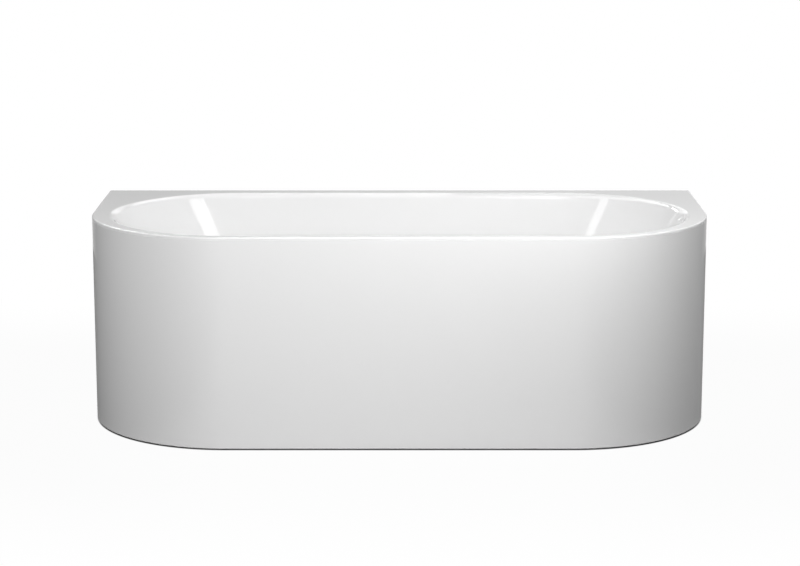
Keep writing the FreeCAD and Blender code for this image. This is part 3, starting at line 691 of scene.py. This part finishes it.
def basin_rings():
    """Rings of the enamelled surface, from the lip over the rim and down to the waste hole."""
    s = sizes()
    form = BasinForm()
    places = stations()

    def outline(inset, z):
        return [outline_point(share, heading, inset, z) for share, heading in places]

    def rounding(radius, turn, at_floor):
        return [form.rounding(share, heading, radius, turn, at_floor) for share, heading in places]

    rings = [outline(0.0, RIM_TOP - s.rim_lip)]
    for step in range(EDGE_STEPS + 1):
        swing = math.radians(90 - 90 * step / EDGE_STEPS)
        inset = s.edge_radius * (1 - math.sin(swing))
        rings.append(outline(inset, RIM_TOP - s.edge_radius * (1 - math.cos(swing))))
    rings += between(rings[-1], rounding(s.rim_radius, 0.0, False), RIM_SHARES)
    rings += [rounding(s.rim_radius, step / RIM_STEPS, False) for step in range(RIM_STEPS + 1)]
    rings += between(rings[-1], rounding(s.base_radius, 1.0, True), WALL_SHARES)
    for step in range(FLOOR_ROUND_STEPS + 1):
        rings.append(rounding(s.base_radius, 1 - step / FLOOR_ROUND_STEPS, True))
    return rings + waste_rings(form, rings[-1])


def skin(name, rings):
    """A mesh of quads through closed rings of points."""
    mesh = bpy.data.meshes.new(name)
    count = len(rings[0])
    points = [point for ring in rings for point in ring]
    faces = []
    for row in range(len(rings) - 1):
        here = row * count
        below = here + count
        for column in range(count):
            onward = (column + 1) % count
            faces.append((here + column, here + onward, below + onward, below + column))
    mesh.from_pydata(points, [], faces)
    return mesh


def thickened(name, mesh, thickness):
    """A sheet with a thickness behind its face. The reverse shows the second finish."""
    maker = add_object(name, mesh)
    sheet = maker.modifiers.new("sheet", "SOLIDIFY")
    sheet.thickness = thickness
    sheet.offset = -1.0
    sheet.use_even_offset = True
    sheet.material_offset = REVERSE
    return plain_mesh(maker)


def paint(points, finish):
    """Gives all faces at some points of a shape one of the mesh's finishes."""
    for point in points:
        for face in point.link_faces:
            face.material_index = finish


def add_block(shape, low, high):
    """Adds a block between two corners to a shape."""
    points = bmesh.ops.create_cube(shape, size=1.0)["verts"]
    for point in points:
        point.co = Vector([low[i] + (point.co[i] + 0.5) * (high[i] - low[i]) for i in range(3)])
    paint(points, FACE)


def add_rod(shape, start, end, radius, finish=FACE):
    """Adds a round rod between two points to a shape."""
    way = end - start
    turn = way.to_track_quat("Z", "Y").to_matrix().to_4x4()
    place = Matrix.Translation((start + end) / 2) @ turn
    rod = bmesh.ops.create_cone(
        shape, cap_ends=True, segments=ROUND_SIDES, radius1=radius, radius2=radius,
        depth=way.length, matrix=place,
    )
    paint(rod["verts"], finish)


def bored(name, mesh, start, end, radius):
    """A mesh with a round hole through it."""
    maker = add_object(name, mesh)
    shape = bmesh.new()
    add_rod(shape, start, end, radius)
    drill_mesh = bpy.data.meshes.new("drill")
    shape.to_mesh(drill_mesh)
    shape.free()
    drill = add_object("drill", drill_mesh)
    hole = maker.modifiers.new("hole", "BOOLEAN")
    hole.operation = "DIFFERENCE"
    hole.object = drill
    result = plain_mesh(maker)
    bpy.data.objects.remove(drill)
    return result


class BATHTUB_OT_basin(bpy.types.Operator):
    """Press the enamelled basin"""

    bl_idname = "bathtub.basin"
    bl_label = "Basin"

    def execute(self, context):
        s = sizes()
        form = BasinForm()
        mesh = skin("basin_pressing", basin_rings())
        mesh.materials.append(finish_of("white_enamel"))
        mesh.materials.append(finish_of("ground_coat"))
        mesh = thickened("basin_pressing", mesh, s.basin_wall)
        middle = form.wall(0.0, -math.pi / 2, RIM_TOP - s.overflow_drop)
        lean = form.slope(0.0, -math.pi / 2)
        inward = Vector((0.0, math.cos(lean), math.sin(lean)))
        reach = DRILL_REACH * inward
        mesh = bored("basin_pressing", mesh, middle - reach, middle + reach, s.overflow_hole)
        shape = bmesh.new()
        shape.from_mesh(mesh)
        end = HALF_LENGTH - s.skirt_wall - s.skirt_return
        top = RIM_TOP - s.basin_wall
        add_block(shape, (-end, HALF_WIDTH - s.basin_wall, RIM_TOP - s.rear_fold), (end, HALF_WIDTH, top))
        shape.to_mesh(mesh)
        shape.free()
        piece = new_piece("basin_pressing", mesh, "tub")
        piece.modifiers.new("even gloss", "WEIGHTED_NORMAL").keep_sharp = True
        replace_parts(piece, "basin")
        return {"FINISHED"}


def folded_skirt_tree():
    """A geometry tree that folds a flanged sheet and sweeps it along a path with rounded corners."""
    tree = Growth("Folded skirt", ("Corner radius", "Height", "Flange", "Bend radius"))

    def rounded(line, count, radius):
        line = tree.add("GeometryNodeMeshToCurve", {"Mesh": line})
        inputs = {"Curve": line, "Count": count, "Radius": tree.given(radius)}
        return tree.add("GeometryNodeFilletCurve", inputs, mode="POLY")

    path = rounded(tree.start, SKIRT_CORNER_STEPS, "Corner radius")
    path = tree.add("GeometryNodeSetCurveNormal", {"Curve": path}, mode="Z_UP")
    fold_points = 4
    middle = (fold_points - 1) / 2
    index = tree.add("GeometryNodeInputIndex")
    across = (abs(index - middle) > 1.0) * tree.given("Flange")
    up = (index < middle) * tree.given("Height") * -1.0
    place = tree.add("ShaderNodeCombineXYZ", {"X": across, "Y": up})
    fold = tree.add("GeometryNodeMeshLine", {"Count": fold_points})
    fold = tree.add("GeometryNodeSetPosition", {"Geometry": fold, "Position": place})
    fold = rounded(fold, SKIRT_BEND_STEPS, "Bend radius")
    sheet = tree.add("GeometryNodeCurveToMesh", {"Curve": path, "Profile Curve": fold})
    return tree.end(tree.add("GeometryNodeFlipFaces", {"Mesh": sheet}))


def grow(name, base, group, **values):
    """The plain mesh that a geometry tree makes from a base mesh. Values are the tree's inputs by name."""
    maker = add_object(name, base)
    modifier = maker.modifiers.new(name, "NODES")
    modifier.node_group = group
    for item in group.interface.items_tree:
        key = item.name.lower().replace(" ", "_")
        if item.in_out == "INPUT" and key in values:
            modifier[item.identifier] = values[key]
    return plain_mesh(maker)


def stud_places():
    """Places of the studs on the skirt's reverse and the way they point, for the ties and the rear beam."""
    s = sizes()
    tie_low, tie_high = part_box("tie_right")
    beam_low, beam_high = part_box("rear_beam")
    rail_low, rail_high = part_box("rail_right")
    tube = rail_high.z - rail_low.z
    places = []
    for side in (-1, 1):
        rail_x = side * (tie_low.x + tie_high.x) / 2
        foot = Vector((rail_x, s.skirt_wall - HALF_WIDTH, tie_high.z - tube / 2))
        places.append((foot, Vector((0, 1, 0))))
        for step in (-1, 1):
            z = (beam_low.z + beam_high.z) / 2 + step * (beam_high.z - beam_low.z + tube) / 4
            foot = Vector((side * (HALF_LENGTH - s.skirt_wall), (beam_low.y + beam_high.y) / 2, z))
            places.append((foot, Vector((-side, 0, 0))))
    return places


class BATHTUB_OT_skirt(bpy.types.Operator):
    """Fold the enamelled skirt"""

    bl_idname = "bathtub.skirt"
    bl_label = "Skirt"

    def execute(self, context):
        s = sizes()
        low, high = SKIRT_LOW.z, SKIRT_HIGH.z
        path = bpy.data.meshes.new("skirt_path")
        corners = ((1, 1), (1, -1), (-1, -1), (-1, 1))
        turns = [(x * HALF_LENGTH, y * HALF_WIDTH, low) for x, y in corners]
        path.from_pydata(turns, [(0, 1), (1, 2), (2, 3)], [])
        mesh = grow(
            "skirt_sheet", path, folded_skirt_tree(), corner_radius=corner_radius(), height=high - low,
            flange=s.skirt_flange, bend_radius=s.skirt_bend, material=finish_of("white_enamel"),
        )
        mesh.materials.append(finish_of("ground_coat"))
        mesh.materials.append(finish_of("zinc_fastener"))
        mesh = thickened("skirt_sheet", mesh, s.skirt_wall)
        shape = bmesh.new()
        shape.from_mesh(mesh)
        inside = HALF_LENGTH - s.skirt_wall
        for start in (inside - s.skirt_return, -inside):
            corner = (start + s.skirt_return, HALF_WIDTH, high)
            add_block(shape, (start, HALF_WIDTH - s.skirt_wall, low), corner)
        for start, way in stud_places():
            add_rod(shape, start, start + way * s.stud_reach, s.stud_radius, STUDS)
        shape.to_mesh(mesh)
        shape.free()
        piece = new_piece("skirt_sheet", mesh, "tub")
        piece.modifiers.new("even gloss", "WEIGHTED_NORMAL").keep_sharp = True
        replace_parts(piece, "skirt")
        return {"FINISHED"}


def levelling_rod_tree():
    """A geometry tree for a threaded rod with flats for a spanner."""
    lengths = (
        "Radius", "Length", "Pitch", "Thread depth", "Spanner flats", "Spanner bottom", "Spanner height",
    )
    tree = Growth("Levelling rod", lengths, Place="Vector")
    radius, length, pitch, depth, flats, bottom, height = [tree.given(name) for name in lengths]

    def raised(mesh, up):
        up = tree.add("ShaderNodeCombineXYZ", {"Z": up})
        return tree.add("GeometryNodeTransform", {"Geometry": mesh, "Translation": up})

    def prism(sides, reach, tall):
        return tree.add("GeometryNodeMeshCylinder", {"Vertices": sides, "Radius": reach, "Depth": tall})

    core = raised(prism(ROUND_SIDES, radius - depth, length), length / 2)
    hexagon = prism(6, flats / math.sqrt(3), height)
    spanner = raised(hexagon, bottom + height / 2)
    low = bottom + height
    rise = length - low - pitch
    # The thread's three-sided section is one and a half times its radius tall
    ridge = depth / 1.5
    helix = tree.add("GeometryNodeCurveSpiral", {
        "Resolution": THREAD_STEPS, "Rotations": rise / pitch, "Height": rise,
        "Start Radius": radius - ridge, "End Radius": radius - ridge,
    })
    helix = tree.add("GeometryNodeSetCurveNormal", {"Curve": helix}, mode="Z_UP")
    crest = tree.add("GeometryNodeCurvePrimitiveCircle", {"Resolution": 3, "Radius": ridge})
    inputs = {"Curve": helix, "Profile Curve": crest, "Fill Caps": True}
    thread = raised(tree.add("GeometryNodeCurveToMesh", inputs), low + pitch / 2)
    whole = tree.add("GeometryNodeJoinGeometry", {"Geometry": [core, spanner, thread]})
    inputs = {"Geometry": whole, "Translation": tree.given("Place")}
    return tree.end(tree.add("GeometryNodeTransform", inputs))


class BATHTUB_OT_rods(bpy.types.Operator):
    """Cut the threads of the four levelling rods"""

    bl_idname = "bathtub.rods"
    bl_label = "Levelling rods"

    def execute(self, context):
        s = sizes()
        group = levelling_rod_tree()
        for name in FOOT_NAMES:
            node = "foot_rod_" + name
            low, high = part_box(node)
            middle = (low + high) / 2
            mesh = grow(
                "threaded_rod_" + name, bpy.data.meshes.new("seed"), group,
                radius=s.rod_radius, length=high.z - low.z, pitch=s.rod_pitch, thread_depth=s.rod_thread,
                spanner_flats=s.spanner_flats, spanner_bottom=s.spanner_bottom - low.z,
                spanner_height=s.spanner_height, place=(middle.x, middle.y, low.z),
                material=finish_of("zinc_fastener"),
            )
            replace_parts(new_piece("threaded_rod_" + name, mesh, "foot_" + name), node)
        return {"FINISHED"}


def weld_bead_tree():
    """A geometry tree that lays overlapping drops of weld along lines."""
    tree = Growth("Weld bead", ("Radius", "Step"), Seed="Int")
    line = tree.add("GeometryNodeMeshToCurve", {"Mesh": tree.start})
    inputs = {"Curve": line, "Length": tree.given("Step")}
    line = tree.add("GeometryNodeResampleCurve", inputs, mode="LENGTH")
    drop = tree.add("GeometryNodeMeshIcoSphere", {"Radius": tree.given("Radius"), "Subdivisions": 2})
    smallest, largest = 0.82, 1.1
    limits = {"Seed": tree.given("Seed"), RANDOM_LOW: smallest, RANDOM_HIGH: largest}
    spread = tree.add("FunctionNodeRandomValue", limits, RANDOM_VALUE, data_type="FLOAT")
    inputs = {"Points": line, "Instance": drop, "Scale": spread}
    return tree.end(tree.add("GeometryNodeInstanceOnPoints", inputs))


class BATHTUB_OT_welds(bpy.types.Operator):
    """Weld the frame's rails to its rear beam, and the beam to its end plates"""

    bl_idname = "bathtub.welds"
    bl_label = "Welds"

    def execute(self, context):
        s = sizes()
        points = []
        edges = []

        def line(*corners):
            first = len(points)
            points.extend(corners)
            edges.extend((first + i, first + i + 1) for i in range(len(corners) - 1))

        beam_low, beam_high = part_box("rear_beam")
        rails = [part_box(rail) for rail in ("rail_left", "rail_right")]
        for low, high in rails:
            line(
                (low.x, high.y, low.z + s.weld_radius), (low.x, high.y, high.z),
                (high.x, high.y, high.z), (high.x, high.y, low.z + s.weld_radius),
            )
        # The beam's tube is level with the rails
        levels = [corner.z for corner in rails[0]]
        for x in (beam_low.x + s.beam_plate, beam_high.x - s.beam_plate):
            for z in levels:
                line((x, beam_low.y + s.weld_radius, z), (x, beam_high.y - s.weld_radius, z))
        path = bpy.data.meshes.new("weld_lines")
        path.from_pydata(points, edges, [])
        mesh = grow(
            "frame_welds", path, weld_bead_tree(),
            radius=s.weld_radius, step=s.weld_step, seed=WELD_SEED, material=finish_of("galvanised_steel"),
        )
        new_piece("frame_welds", mesh, "tub")
        return {"FINISHED"}


class BATHTUB_OT_fittings(bpy.types.Operator):
    """Dress frame, feet, waste and overflow"""

    bl_idname = "bathtub.fittings"
    bl_label = "Fittings"

    def execute(self, context):
        rails = ("rail_left", "rail_right", "rear_beam", "tie_left", "tie_right", "earth_tag")
        nuts = ("frame_screws", "stud_nuts", "weld_nuts", "lock_nuts", "overflow_screws")
        pins = ("lift_pin", "knob_spindle")
        feet = ["foot_pad_" + name for name in FOOT_NAMES]
        pipes = ("waste_body", "trap_body", "trap_cup", "outlet_pipe", "overflow_body", "overflow_pipe")
        trim = ("waste_flange", "waste_plug", "overflow_plate", "overflow_knob")
        dress("galvanised_steel", rails, STEEL_ROUNDING)
        dress("black_rubber", ("rim_bond_strip", "floor_pads"), FINE_ROUNDING)
        dress("bitumen", ("sound_mats",), MAT_ROUNDING)
        dress_round("zinc_fastener", nuts + pins, FINE_ROUNDING)
        dress_round("black_plastic", ("control_cable", *feet), PLASTIC_ROUNDING)
        dress_round("black_rubber", ("waste_seal", "overflow_seal", "plug_seal"), FINE_ROUNDING)
        dress_round("chrome", trim, FINE_ROUNDING)
        dress_round("white_plastic", pipes, FINE_ROUNDING)
        dress_round("grey_plastic", ("trap_nut", "outlet_nut", "overflow_nut"), PLASTIC_ROUNDING)
        return {"FINISHED"}


def beyond_outline(finish):
    """How far a point of the floor lies outside the bathtub's outline."""
    x, y = finish.fan("ShaderNodeSeparateXYZ", ("X", "Y"), {"Vector": finish.place})
    along = (abs(x) - (HALF_LENGTH - corner_radius())).larger(0.0)
    across = (-y - (HALF_WIDTH - corner_radius())).larger(0.0)
    return ((along * along + across * across).root() - corner_radius()).larger(y - HALF_WIDTH)


def floor_finish():
    """A white glowing floor: its glow is cut under the bathtub so the gap there is dark, a faint painted
    shade lies round it, and it is dimmer at its sides.
    """
    finish = Finish("Studio floor")
    # Painted shade round the bathtub: how deep it is, and how far beyond the outline it starts and ends
    painted_shadow, painted_shadow_start, painted_shadow_end = 0.03, 0.3, 1.2
    # Where the floor's glow is cut, from just inside the bathtub's outline to just beyond it
    gap_start, gap_end = -0.004, 0.002
    mirror_loss, mirror_start, mirror_end = 0.8, 0.62, 0.95
    middle_grey, side_grey, side_start, side_end = 0.4, 0.06, 0.4, 1.0

    seen, mirrored, through = finish.fan("ShaderNodeLightPath", RAYS)
    beyond = beyond_outline(finish)
    sideways = abs(finish.add("ShaderNodeSeparateXYZ", {"Vector": finish.place}))
    # Painted shade: the floor's glow dims a little towards the bathtub's outline, drawn by distance and not
    # by the lamps
    glow = seen * (1.0 - painted_shadow + painted_shadow * finish.ramp(beyond, painted_shadow_start, painted_shadow_end))
    loss = mirror_loss * finish.ramp(sideways, mirror_start, mirror_end)
    glow = glow + (mirrored + through) * (1.0 - loss)
    # Partly painted shade: the glow is cut inside the bathtub's outline and in a thin band beyond it, so
    # there the floor shows only its grey coat in the lamps' real shade
    glow = glow * finish.ramp(beyond, gap_start, gap_end)
    to_side = finish.ramp(sideways, side_start, side_end)
    coat = finish.add("ShaderNodeBsdfPrincipled", {
        "Base Color": finish.blend(to_side, opaque([middle_grey] * 3), opaque([side_grey] * 3)),
        "Roughness": 1.0, "Specular IOR Level": 0.0,
    })
    light = finish.add("ShaderNodeEmission", {"Color": WHITE, "Strength": 1.0})
    mixed = finish.mix(glow, coat, light)
    below = finish.add("ShaderNodeNewGeometry", output="Backfacing")
    mixed = finish.mix(below * seen, mixed, finish.add("ShaderNodeBsdfTransparent"))
    finish.add("ShaderNodeOutputMaterial", {"Surface": mixed})
    return finish.material


def lay_floor():
    """A round floor under the bathtub."""
    mesh = bpy.data.meshes.new("studio_floor")
    shape = bmesh.new()
    bmesh.ops.create_circle(shape, cap_ends=True, segments=STUDIO_SIDES, radius=STUDIO_RADIUS)
    shape.to_mesh(mesh)
    shape.free()
    mesh.materials.append(floor_finish())
    floor = add_object("studio_floor", mesh)


def fill_world():
    """White all round for camera and gloss, but dimmer in gloss beside the ground and low in the sky."""
    side_loss, side_start, side_end = 0.7, 0.08, 0.6
    ground_start, ground_end = 0.06, 0.0
    low_loss, low_start, low_end = 0.1, 0.26, 0.2

    world = bpy.data.worlds.new("Studio")
    world.use_nodes = True
    world.node_tree.nodes.clear()
    tree = Tree(world.node_tree)
    seen, mirrored, through = tree.fan("ShaderNodeLightPath", RAYS)
    direction = tree.add("ShaderNodeTexCoord", output="Generated")
    x, z = tree.fan("ShaderNodeSeparateXYZ", ("X", "Z"), {"Vector": direction})
    loss = side_loss * tree.ramp(abs(x), side_start, side_end, "LINEAR")
    loss = loss * tree.ramp(z, ground_start, ground_end, "LINEAR")
    loss = loss + low_loss * tree.ramp(z, low_start, low_end, "LINEAR")
    shown = seen + (mirrored + through) * (1.0 - loss)
    even = tree.add("ShaderNodeBackground", {"Color": WHITE, "Strength": studio().ambient})
    white = tree.add("ShaderNodeBackground", {"Color": WHITE, "Strength": 1.0})
    tree.add("ShaderNodeOutputWorld", {"Surface": tree.mix(shown, even, white)})
    bpy.context.scene.world = world


LIGHTS, SHOWS, BOTH = "lights surfaces", "shows in gloss", "lights surfaces and shows in gloss"
MIDDLE = (0.0, 0.0, 0.45)


class Lamp(NamedTuple):
    """A rectangular soft lamp out of the picture, with the name of its power in the studio's properties."""

    name: str
    power: str
    width: float
    height: float
    place: tuple
    target: tuple
    role: str = LIGHTS


LAMPS = (
    Lamp("Key", "key_power", 0.9, 0.9, (0.0, -2.33, 1.94), MIDDLE),
    Lamp("Fill", "fill_power", 0.9, 0.9, (-0.84, -2.5, 1.34), MIDDLE),
    Lamp("Left", "left_power", 0.9, 0.9, (-2.51, -0.2, 1.12), MIDDLE),
    Lamp("Right", "right_power", 0.9, 0.9, (2.51, -0.2, 1.12), MIDDLE),
    Lamp("Back", "back_power", 0.9, 0.9, (1.2, 0.8, 2.4), (0.0, 0.0, 0.5)),
    Lamp("Behind", "behind_power", 0.9, 0.9, (1.5, 2.4, 1.5), (-0.3, -0.2, 0.5)),
    Lamp("Right strip", "strip_right_power", 0.5, 1.0, (0.6, -0.93, 1.53), (-0.61, 0.28, 0.5), BOTH),
    Lamp("Left strip", "strip_left_power", 0.28, 1.0, (-0.71, -0.93, 1.53), (0.61, 0.28, 0.5), SHOWS),
    Lamp("Rear", "rear_power", 1.8, 0.5, (0.0, 2.4, 0.32), (0.0, 0.3, 0.3)),
    Lamp("Top", "top_power", 0.9, 3.3, (-0.25, 0.75, 2.2), (-0.25, 0.75, 0.5), SHOWS),
    Lamp("Top right", "top_right_power", 0.5, 3.3, (0.45, 0.75, 2.2), (0.45, 0.75, 0.5), SHOWS),
    Lamp("Sky", "sky_power", 4.4, 1.7, (-0.2, 5.0, 2.57), (-0.2, 0.0, 2.57), SHOWS),
    Lamp("Glint", "glint_power", 0.9, 1.1, (-1.9, 4.9, 2.95), (-0.8, -0.2, 0.6), SHOWS),
)


def hang(lamp):
    """Hangs a lamp at its place and points it at its target."""
    light = bpy.data.lights.new(lamp.name, "AREA")
    light.shape = "RECTANGLE"
    light.size = lamp.width
    light.size_y = lamp.height
    light.energy = getattr(studio(), lamp.power)
    holder = add_object(lamp.name, light)
    holder.location = lamp.place
    way = Vector(lamp.target) - Vector(lamp.place)
    holder.rotation_euler = way.to_track_quat("-Z", "Y").to_euler()
    holder.visible_camera = False
    holder.visible_diffuse = lamp.role != SHOWS
    holder.visible_glossy = lamp.role != LIGHTS


def set_camera():
    """Looks at the bathtub's front from the photograph's place."""
    camera = bpy.data.cameras.new("Camera")
    camera.sensor_width = SENSOR_WIDTH
    camera.sensor_fit = "HORIZONTAL"
    camera.lens = studio().lens
    holder = add_object("Camera", camera)
    holder.location = (studio().camera_x, -studio().camera_distance, studio().camera_height)
    holder.rotation_euler = (math.pi / 2 - studio().camera_dip, 0.0, 0.0)
    bpy.context.scene.camera = holder


class BATHTUB_OT_stage(bpy.types.Operator):
    """Set up floor, lamps, world and camera"""

    bl_idname = "bathtub.stage"
    bl_label = "Stage"

    def execute(self, context):
        context.scene.view_settings.view_transform = "Standard"
        lay_floor()
        fill_world()
        for lamp in LAMPS:
            hang(lamp)
        set_camera()
        return {"FINISHED"}


class BATHTUB_PT_panel(bpy.types.Panel):
    """The bathtub's pieces and sizes"""

    bl_idname = "BATHTUB_PT_panel"
    bl_label = "Bathtub"
    bl_space_type = "VIEW_3D"
    bl_region_type = "UI"
    bl_category = "Bathtub"

    def draw(self, context):
        for operator in OPERATORS:
            self.layout.operator(operator.bl_idname)
        for group in (sizes(), colours(), studio()):
            for key in group.bl_rna.properties.keys():
                if key not in {"rna_type", "name"}:
                    self.layout.prop(group, key)


OPERATORS = (
    BATHTUB_OT_basin, BATHTUB_OT_skirt, BATHTUB_OT_rods,
    BATHTUB_OT_welds, BATHTUB_OT_fittings, BATHTUB_OT_stage,
)
CLASSES = (BathtubSizes, BathtubColours, BathtubStudio, *OPERATORS, BATHTUB_PT_panel)


def register():
    for kind in CLASSES:
        bpy.utils.register_class(kind)
    bpy.types.Scene.bathtub_sizes = bpy.props.PointerProperty(type=BathtubSizes)
    bpy.types.Scene.bathtub_colours = bpy.props.PointerProperty(type=BathtubColours)
    bpy.types.Scene.bathtub_studio = bpy.props.PointerProperty(type=BathtubStudio)


def unregister():
    del bpy.types.Scene.bathtub_studio
    del bpy.types.Scene.bathtub_colours
    del bpy.types.Scene.bathtub_sizes
    for kind in reversed(CLASSES):
        bpy.utils.unregister_class(kind)


def main():
    register()
    bpy.ops.bathtub.basin()
    bpy.ops.bathtub.skirt()
    bpy.ops.bathtub.rods()
    bpy.ops.bathtub.welds()
    bpy.ops.bathtub.fittings()
    bpy.ops.bathtub.stage()


if __name__ == "__main__":
    main()
